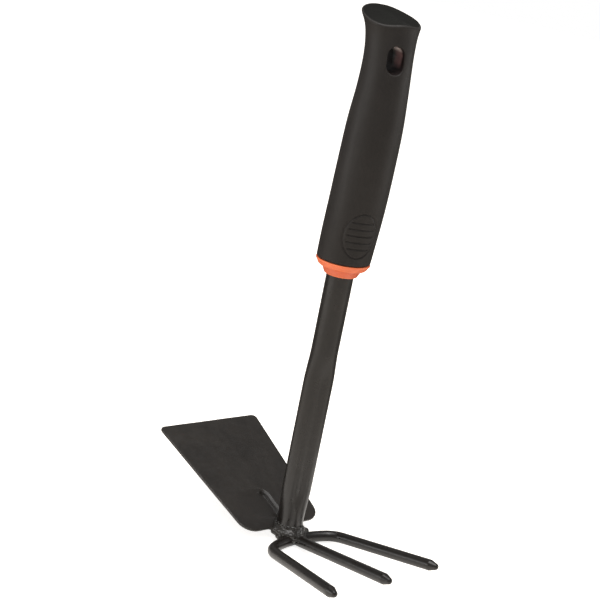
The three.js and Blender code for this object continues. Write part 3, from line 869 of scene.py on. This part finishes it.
def grip_ring(height, inset, drop=0.0):
    """One ring of the grip, height above its foot in the middle of the ring."""
    lift, draw = lip(height, ANGLES)
    radius = at_height(RADII, height) - inset - draw
    x = at_height(BOWS, height) + radius * np.cos(ANGLES)
    y = at_height(LEANS, height) + radius * np.sin(ANGLES)
    z = GRIP_FOOT + height - drop - at_height(TILTS, height) * radius * np.cos(ANGLES) + lift
    return np.stack([x, y, z], 1)


def grip_depth(y, z, inset, front):
    """X of the grip's front (1) or back (-1) surface over the points (y, z)."""
    height = z - GRIP_FOOT
    angle = np.zeros(len(y)) if front > 0 else np.full(len(y), math.pi)
    for _ in range(DEPTH_ROUNDS):
        lift, draw = lip(height, angle)
        radius = at_height(RADII, height) - inset - draw
        across = np.clip((y - at_height(LEANS, height)) / radius, -DEPTH_REACH, DEPTH_REACH)
        along = front * np.sqrt(1 - across**2)
        angle = np.arctan2(across, along)
        height = z - GRIP_FOOT + at_height(TILTS, height) * radius * along - lift
    return at_height(BOWS, height) + radius * along


def pattern_depth(y, z):
    """How deep the sunk pattern is at a point: an oval line round a stack of level bars."""
    z = z - GRIP_FOOT - PAD_ABOVE_FOOT
    a = PAD_WIDTH / 2 - PAD_LINE / 2
    b = PAD_HEIGHT / 2 - PAD_LINE / 2
    q = np.hypot(y / a, z / b) + TINY
    slope = np.hypot(y / a**2, z / b**2) / q
    away = np.abs(q - 1) / (slope + TINY)
    pitch = (PAD_HEIGHT - PAD_ENDS) / (PAD_BARS + 1)
    for bar in range(PAD_BARS):
        height = (bar - (PAD_BARS - 1) / 2) * pitch
        reach = math.sqrt(1 - (2 * height / PAD_HEIGHT) ** 2)
        half = (PAD_WIDTH / 2 - PAD_SIDE) * reach
        away = np.minimum(away, np.hypot(np.maximum(np.abs(y) - half, 0), z - height))
    return PAD_DEPTH * (1 - smooth(*PAD_LINE_EDGE, away))


def row_heights(first, table):
    return np.concatenate([first] + [np.arange(*row) for row in table])


def grip_skin(skin, heights, inset, window, grow, edge, pattern=False):
    """Adds one skin of the grip with the slot's openings. Gives its loops and the two ends of the slot's tunnel."""
    top = GRIP_LENGTH - inset
    rows = [(height, inset) for height in heights if height < top - TOP_ROUND]
    for angle in np.linspace(0, math.pi / 2, TOP_ROUND_ROWS):
        below = TOP_ROUND * (1 - math.sin(angle))
        rows.append((top - below, inset + TOP_ROUND * (1 - math.cos(angle))))
    loops = []
    for height, drawn in rows:
        ring = grip_ring(height, drawn)
        if pattern and height < PAD_ABOVE_FOOT + PAD_HEIGHT / 2 + PAD_LINE:
            sunk = pattern_depth(ring[:, 1], ring[:, 2]) * (np.cos(ANGLES) > 0)
            ring -= OUTWARD * sunk[:, None]
        loops.append(skin.add(ring))
    half_window = int(np.searchsorted(ANGLES[: COLUMNS // 4], math.radians(window)))
    levels = [row[0] for row in rows]
    window_foot = GRIP_LENGTH - SLOT_BELOW_TOP - SLOT_HEIGHT / 2 - WINDOW_BELOW_SLOT - grow
    low_row = int(np.searchsorted(levels, window_foot))
    high_row = int(np.searchsorted(levels, GRIP_LENGTH - WINDOW_BELOW_TOP))
    for i in range(len(loops) - 1):
        for j in range(COLUMNS):
            k = (j + 1) % COLUMNS
            from_front = (j + half_window) % COLUMNS < 2 * half_window
            from_back = (j - COLUMNS // 2 + half_window) % COLUMNS < 2 * half_window
            if low_row <= i < high_row and (from_front or from_back):
                continue
            skin.face(loops[i][j], loops[i][k], loops[i + 1][k], loops[i + 1][j])
    centre = np.array([SLOT_ASIDE, SLOT_CENTRE])
    starts = []
    outline = None
    for front, first in ((1, 0), (-1, COLUMNS // 2)):
        across = [(first + front * step) % COLUMNS for step in range(-half_window, half_window + 1)]
        border = [loops[low_row][j] for j in across]
        border += [loops[i][across[-1]] for i in range(low_row + 1, high_row)]
        border += [loops[high_row][j] for j in reversed(across)]
        border += [loops[i][across[0]] for i in range(high_row - 1, low_row, -1)]
        rim = np.array([skin.points[i] for i in border])[:, 1:]
        if outline is None:
            toward = rim - centre
            bearings = np.arctan2(toward[:, 1], toward[:, 0])
            outline, normals = stadium(bearings, SLOT_WIDTH / 2 + grow, (SLOT_HEIGHT - SLOT_WIDTH) / 2)
        inner = centre + outline
        loops_in = []
        for angle in np.linspace(0, math.pi / 2, SLOT_ROUND_LOOPS):
            flat = inner + normals * edge * (1 - math.cos(angle))
            depth = grip_depth(flat[:, 0], flat[:, 1], inset, front) - front * edge * (1 - math.sin(angle))
            loops_in.append(skin.add(np.column_stack([depth, flat])))
        rounded = inner + normals * edge
        for share in np.linspace(0, 1, SLOT_LOOPS)[1:-1]:
            flat = mix(rounded, rim, share)
            depth = grip_depth(flat[:, 0], flat[:, 1], inset, front)
            loops_in.append(skin.add(np.column_stack([depth, flat])))
        loops_in.append(border)
        for low, high in zip(loops_in, loops_in[1:]):
            skin.strip(low, high)
        starts.append(loops_in[0])
    return loops, starts


def tunnel(skin, starts, marks=(0,) * len(SLOT_STRIPS), bulge=0.0):
    """The slot's wall between its two openings, with a material for each strip from the front."""
    first, last = (np.array([skin.points[i] for i in start]) for start in starts)
    loops = [starts[0]]
    outward = first - first.mean(0)
    outward[:, 0] = 0
    outward /= np.linalg.norm(outward, axis=1)[:, None]
    for share in np.linspace(0, 1, len(marks) + 1)[1:-1]:
        swell = bulge * math.sin(math.pi * share)
        loops.append(skin.add(mix(first, last, share) + outward * swell))
    loops.append(starts[1])
    for mark, low, high in zip(marks, loops, loops[1:]):
        skin.mark = mark
        skin.strip(low, high)
    skin.mark = 0


def close_top(skin, loops, height, inset, dish):
    """The grip's top inside its rounded rim, a little dished."""
    last = loops[-1]
    for extra, drop in (TOP_FIRST_RING, *((extra, dish * share) for extra, share in TOP_RINGS)):
        loop = skin.add(grip_ring(height, inset + extra, drop))
        skin.strip(last, loop)
        last = loop
    centre = np.array([skin.points[i] for i in last]).mean(0)
    skin.cap(last, centre)


def build_sleeve():
    skin = Skin()
    loops, starts = grip_skin(skin, row_heights([], SLEEVE_ROWS), 0, SLEEVE_WINDOW, 0, SLOT_ROUND, pattern=True)
    # The top face takes the darker rubber, a painted shade.
    skin.mark = TOP
    close_top(skin, loops, GRIP_LENGTH, TOP_ROUND, TOP_DISH)
    skin.mark = GRIP
    tunnel(skin, starts, SLOT_STRIPS, SLOT_BULGE)
    foot = loops[0]
    for angle in np.linspace(0, math.pi / 2, FOOT_ROUND_ROWS)[1:]:
        ring = grip_ring(0, FOOT_ROUND * (1 - math.cos(angle)))
        ring[:, 2] = GRIP_FOOT + FOOT_ROUND * (1 - math.sin(angle))
        loop = skin.add(ring)
        skin.strip(foot, loop)
        foot = loop
    heights = row_heights([0.0], INNER_ROWS)
    inner, inner_starts = grip_skin(skin, heights, SLEEVE_WALL, INNER_WINDOW, SLOT_LINING, INNER_EDGE)
    close_top(skin, inner, GRIP_LENGTH - SLEEVE_WALL, SLEEVE_WALL + TOP_ROUND, 0)
    tunnel(skin, inner_starts)
    skin.strip(foot, inner[0])
    materials = [grip_rubber, slot_rubber, slot_lining, top_rubber_painted_shade]
    make_piece("grip_sleeve_rubber", skin, materials, "grip_sleeve", turned=True, sharp=60)


build_sleeve()


# ---- core and collar ----------------------------------------------------------------------------------------------

def circle(radius, height):
    return OUTWARD * radius + (0, 0, height)


def build_core():
    ring_top = COLLAR_FOOT + RING_HEIGHT
    bore = SHANK_RADIUS + FIT_GAP / 3
    neck = GRIP_HALF_WIDTH * WIDTH_SHARES[0] - SLEEVE_WALL - FIT_GAP
    profile = [
        (bore, COLLAR_FOOT),
        (RING_FOOT_RADIUS, COLLAR_FOOT),
        (RING_TOP_RADIUS, ring_top),
        (FLANGE_FOOT_RADIUS, ring_top),
        (FLANGE_RADIUS, COLLAR_TOP - COLLAR_LIP_FOOT),
        (FLANGE_RADIUS + COLLAR_LIP, COLLAR_TOP - COLLAR_LIP_FULL),
        (FLANGE_RADIUS + COLLAR_LIP, COLLAR_TOP),
        (neck, COLLAR_TOP),
    ]
    skin = Skin()
    rows = round_profile(profile, COLLAR_EDGE, COLLAR_EDGE_STEPS)
    collar = [skin.add(circle(radius, height)) for radius, height in rows]
    for low, high, (_, height) in zip(collar, collar[1:], rows[1:]):
        # The ring's strips take the deeper orange, a painted shade.
        skin.mark = RING if COLLAR_FOOT + COLLAR_EDGE < height < ring_top else COLLAR
        skin.strip(low, high)
    skin.mark = COLLAR
    inset = SLEEVE_WALL + FIT_GAP
    heights = row_heights([CORE_FIRST_ROW], INNER_ROWS)
    body, starts = grip_skin(skin, heights, inset, INNER_WINDOW, SLOT_LINING + FIT_GAP, INNER_EDGE)
    close_top(skin, body, GRIP_LENGTH - inset, inset + TOP_ROUND, 0)
    tunnel(skin, starts)
    skin.strip(collar[-1], body[0])
    top = SHANK_TOP + FIT_GAP
    wall = skin.rings([circle(bore, height) for height in np.linspace(COLLAR_FOOT + BORE_START, top, BORE_RINGS)])
    skin.strip(collar[0], wall[0])
    skin.cap(wall[-1], (0, 0, top))
    materials = [orange_plastic, ring_plastic_painted_shade]
    make_piece("handle_core_orange", skin, materials, "handle_core", turned=True, sharp=40)


build_core()


# ---- welds --------------------------------------------------------------------------------------------------------

def build_weld(place, lumps):
    """A bead: overlapping flattened lumps (place and radius), melted together and roughened."""
    name = "weld_bead_" + place
    work = bmesh.new()
    for i, (middle, radius) in enumerate(lumps):
        matrix = (
            Matrix.Translation(Vector(middle) * MM + Vector(SHIFT))
            @ Matrix.Rotation(LUMP_TURN * i, 4, LUMP_AXIS)
            @ Matrix.Diagonal((*(radius * MM * share for share in LUMP_SHAPE), 1))
        )
        bmesh.ops.create_icosphere(work, subdivisions=3, radius=1, matrix=matrix)
    rough = bpy.data.meshes.new(name + "_rough")
    work.to_mesh(rough)
    work.free()
    holder = add_object(name + "_rough", rough)
    remesh = holder.modifiers.new("melt", "REMESH")
    remesh.mode = "VOXEL"
    remesh.voxel_size = WELD_VOXEL * MM
    soften = holder.modifiers.new("soften", "SMOOTH")
    soften.iterations = WELD_SOFTENING
    bpy.context.view_layer.update()
    graph = bpy.context.evaluated_depsgraph_get()
    mesh = bpy.data.meshes.new_from_object(holder.evaluated_get(graph))
    bpy.data.objects.remove(holder)
    bpy.data.meshes.remove(rough)
    mesh.name = name
    normals = [vertex.normal.copy() for vertex in mesh.vertices]
    for vertex, normal in zip(mesh.vertices, normals):
        wave = sum(noise.noise(vertex.co / MM * pace) * size for pace, size in WELD_WAVES)
        vertex.co += normal * wave * MM
        vertex.co.z = max(vertex.co.z, cad_box[0].z)
    mesh.materials.clear()
    mesh.materials.append(weld_paint)
    finish_piece(name, mesh, "weld_" + place)


def foot_lumps(rows):
    """Lumps on arcs round the shank's axis, each at a height above the plate or the fork's bar below it."""
    bar_top = -BAR_BELOW + TINE_RADIUS
    lumps = []
    for first, last, reach, height, radius, step in rows:
        count = int(abs(last - first) / step) + 2
        for i, degrees in enumerate(np.linspace(first, last, count)):
            ahead = reach * math.cos(math.radians(degrees))
            below = blade_top_at(ahead)
            if ahead > TANG_FRONT - TINE_RADIUS:
                below = max(bar_top, below)
            place = (ahead, reach * math.sin(math.radians(degrees)), below + height)
            lumps.append((place, radius * (1 + ROW_CHANGE * math.sin(ROW_PACE * i + first))))
    return lumps


def line_lumps(first, last, count, radius):
    first, last = np.array(first, float), np.array(last, float)
    return [
        (mix(first, last, share), radius * (1 + LINE_CHANGE * math.sin(LINE_PACE * share + first[0])))
        for share in np.linspace(0, 1, count)
    ]


build_weld("shank_front_left", foot_lumps(FRONT_LEFT_ROWS) + FRONT_LUMPS + foot_lumps(FRONT_LEFT_TOP_ROWS))
build_weld("shank_front_right", foot_lumps(FRONT_RIGHT_ROWS))
for side_name, rows in REAR_ROWS.items():
    build_weld("shank_rear_" + side_name, foot_lumps(rows))

for side_name, side in (("left", -1), ("right", 1)):
    tang_end = np.array([TANG_FRONT, side * TANG_WIDTH / 2, blade_top_at(TANG_FRONT) + TANG_WELD_ABOVE])
    tang_side = (
        TANG_SIDE_REAR, side * (TANG_WIDTH / 2 + TANG_SIDE_OUT), blade_top_at(TANG_SIDE_REAR) - TANG_SIDE_OUT
    )
    tang = line_lumps(tang_end * (1, 0.5, 1), tang_end, TANG_WELD_LUMPS, TANG_WELD_RADIUS)
    tang += line_lumps(tang_end, tang_side, TANG_SIDE_LUMPS, TANG_SIDE_RADIUS)
    build_weld("tang_" + side_name, tang)
    fork = []
    for *ends, count, radius in FORK_LINES:
        first, last = (fork_point(out, side * aside) + FORK_UP * up for out, aside, up in ends)
        fork += line_lumps(first, last, count, radius)
    build_weld("fork_" + side_name, fork)


# ---- camera, floor and light --------------------------------------------------------------------------------------

CAMERA_PLACE = (515.347, -503.250, 359.943)
CAMERA_RIGHT = Vector((0.6255121, 0.7581193, 0.1843630))
CAMERA_BACK = Vector((0.7044128, -0.6503475, 0.2843425))
CAMERA_LENS = 75.547
SENSOR_WIDTH = 36
IMAGE_SIZE = 600
PIXEL_SHIFT = 0.4

FLOOR_REACH = 6
FLOOR_COLOUR = (0.80, 0.74, 0.665)
FLOOR_SEEN = 0.8
# How brightly the floor glows in reflections beside the tool and far from it, and the distances of that change.
FLOOR_NEAR = 0.72
FLOOR_FAR = 0.02
FLOOR_FADE = (0.06, 0.22)
# Reflections also show the floor's colour darker behind the tool, at this share. It rises to full over the stretch
# between these distances towards the camera.
FLOOR_BEHIND_SHARE = 0.15
FLOOR_BEHIND = (-0.12, 0.02)
# The sky's strength for soft light, and in reflections from the horizon up.
SKY_SOFT = 0.7
SKY_LOW = 0.32
SKY_HIGH = 0.26
SKY_RISE = (0.1, 0.6)
# Name, azimuth in degrees from the tines' side, height, distance, size, power and colour, in metres and watts.
LIGHTS = (
    ("key_left", -112, 0.25, 1.4, (1.1, 0.45), 5.5, (1, 0.99, 0.99)),
    ("fill_right", 58, 0.25, 1.4, (0.8, 0.45), 3.2, (1, 0.97, 0.94)),
    ("top_soft", -60, 1.5, 0.15, (0.9, 0.9), 16, (1, 0.99, 0.98)),
)
LIGHT_TARGET = (0, 0, 0.15)


def build_camera():
    data = bpy.data.cameras.new("camera")
    data.lens = CAMERA_LENS
    data.sensor_width = SENSOR_WIDTH
    data.shift_x = -PIXEL_SHIFT / IMAGE_SIZE
    data.shift_y = PIXEL_SHIFT / IMAGE_SIZE
    camera = add_object("camera", data)
    axes = Matrix((CAMERA_RIGHT, CAMERA_BACK.cross(CAMERA_RIGHT), CAMERA_BACK)).transposed()
    camera.matrix_world = Matrix.Translation(Vector(CAMERA_PLACE) * MM + Vector(SHIFT)) @ axes.to_4x4()
    bpy.context.scene.camera = camera


def build_floor():
    """A warm pale floor, white to the camera. Reflections show it pale beside the tool and dark far off."""
    s = Shader("floor_white")
    path = s.node("ShaderNodeLightPath").outputs
    glossy = path["Is Glossy Ray"]
    near = s.spread(s.vector("LENGTH", s.place), FLOOR_FADE, (FLOOR_NEAR, FLOOR_FAR), "SMOOTHSTEP")
    mirrored = s.math("MULTIPLY", s.math("MAXIMUM", glossy, path["Is Transmission Ray"]), near)
    seen = s.math("MULTIPLY", path["Is Camera Ray"], FLOOR_SEEN)
    ahead = s.vector("DOT_PRODUCT", s.place, (CAMERA_BACK.x, CAMERA_BACK.y, 0))
    loss = s.spread(ahead, FLOOR_BEHIND, (1 - FLOOR_BEHIND_SHARE, 0), "SMOOTHSTEP")
    kept = s.math("SUBTRACT", 1, s.math("MULTIPLY", glossy, loss))
    colour = s.node("ShaderNodeVectorMath", operation="SCALE")
    s.feed(FLOOR_COLOUR, colour.inputs[0])
    s.feed(kept, colour.inputs["Scale"])
    diffuse = s.node("ShaderNodeBsdfDiffuse")
    s.feed(colour.outputs["Vector"], diffuse.inputs["Color"])
    glow = s.node("ShaderNodeEmission")
    s.feed(WHITE, glow.inputs["Color"])
    s.feed(s.math("ADD", seen, mirrored), glow.inputs["Strength"])
    both = s.node("ShaderNodeAddShader")
    s.feed(diffuse.outputs[0], both.inputs[0])
    s.feed(glow.outputs[0], both.inputs[1])
    s.feed(both.outputs[0], s.output.inputs["Surface"])
    mesh = bpy.data.meshes.new("floor")
    corners = [(x * FLOOR_REACH, y * FLOOR_REACH, 0) for x, y in ((-1, -1), (1, -1), (1, 1), (-1, 1))]
    mesh.from_pydata(corners, [], [(0, 1, 2, 3)])
    mesh.materials.append(s.material)
    add_object("floor", mesh)


def build_studio():
    """White all round to the camera. Its soft light is even, and reflections show it dimmer."""
    world = bpy.data.worlds.new("studio")
    bpy.context.scene.world = world
    s = Nodes(world, "ShaderNodeOutputWorld")
    path = s.node("ShaderNodeLightPath").outputs
    split = s.node("ShaderNodeSeparateXYZ")
    s.feed(s.node("ShaderNodeTexCoord").outputs["Generated"], split.inputs[0])
    sky = s.spread(split.outputs["Z"], SKY_RISE, (SKY_LOW, SKY_HIGH), "SMOOTHSTEP")
    loss = s.math("MULTIPLY", path["Is Glossy Ray"], s.math("SUBTRACT", SKY_SOFT, sky))
    level = s.math("SUBTRACT", SKY_SOFT, loss)
    background = s.node("ShaderNodeBackground")
    s.feed(WHITE, background.inputs["Color"])
    s.feed(s.math("MAXIMUM", level, path["Is Camera Ray"]), background.inputs["Strength"])
    s.feed(background.outputs[0], s.output.inputs["Surface"])


def build_light(name, azimuth, height, distance, size, power, colour):
    data = bpy.data.lights.new(name, "AREA")
    data.shape = "RECTANGLE"
    data.size, data.size_y = size
    data.energy = power
    data.color = colour
    light = add_object(name, data)
    light.visible_camera = False
    turn = math.radians(azimuth)
    light.location = (distance * math.cos(turn), distance * math.sin(turn), height)
    light.rotation_mode = "QUATERNION"
    light.rotation_quaternion = (Vector(LIGHT_TARGET) - light.location).to_track_quat("-Z", "Y")


build_camera()
build_floor()
build_studio()
for light in LIGHTS:
    build_light(*light)

bpy.context.scene.view_settings.view_transform = "Standard"
